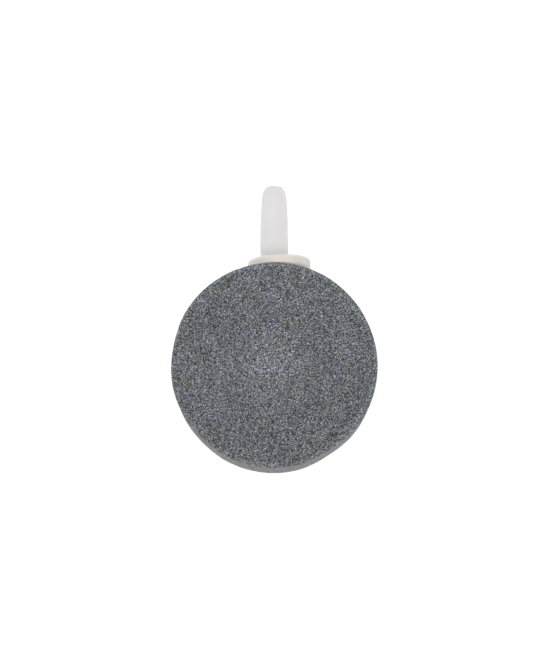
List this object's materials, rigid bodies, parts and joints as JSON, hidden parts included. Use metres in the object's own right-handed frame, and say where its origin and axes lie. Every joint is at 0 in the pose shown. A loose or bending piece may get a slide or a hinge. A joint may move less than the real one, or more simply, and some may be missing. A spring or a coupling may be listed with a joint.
{
  "type": "air stone",
  "caption": "Round disc air stone: a porous grit plate in a sealed dish, fed by a side hose tail with a collar, for aerating an aquarium or a pond.",
  "frame": {"origin": "centre of the flat sealed back, which the stone lies on", "axes": "+Z out of the porous face, +Y along the hose tail, away from the disc"},
  "size_m": [0.04, 0.0564, 0.013],
  "materials": {
    "dense_stone": "matte",
    "porous_grit": "rough",
    "milky_plastic": "satin",
    "cream_collar": "satin",
    "glue": "satin"
  },
  "bodies": {
    "root": {"base_dish": "dense_stone", "face_plate": "porous_grit", "face_bond": "glue", "hose_tail": "milky_plastic", "collar": "cream_collar", "tail_bond": "glue"}
  },
  "joints": []
}
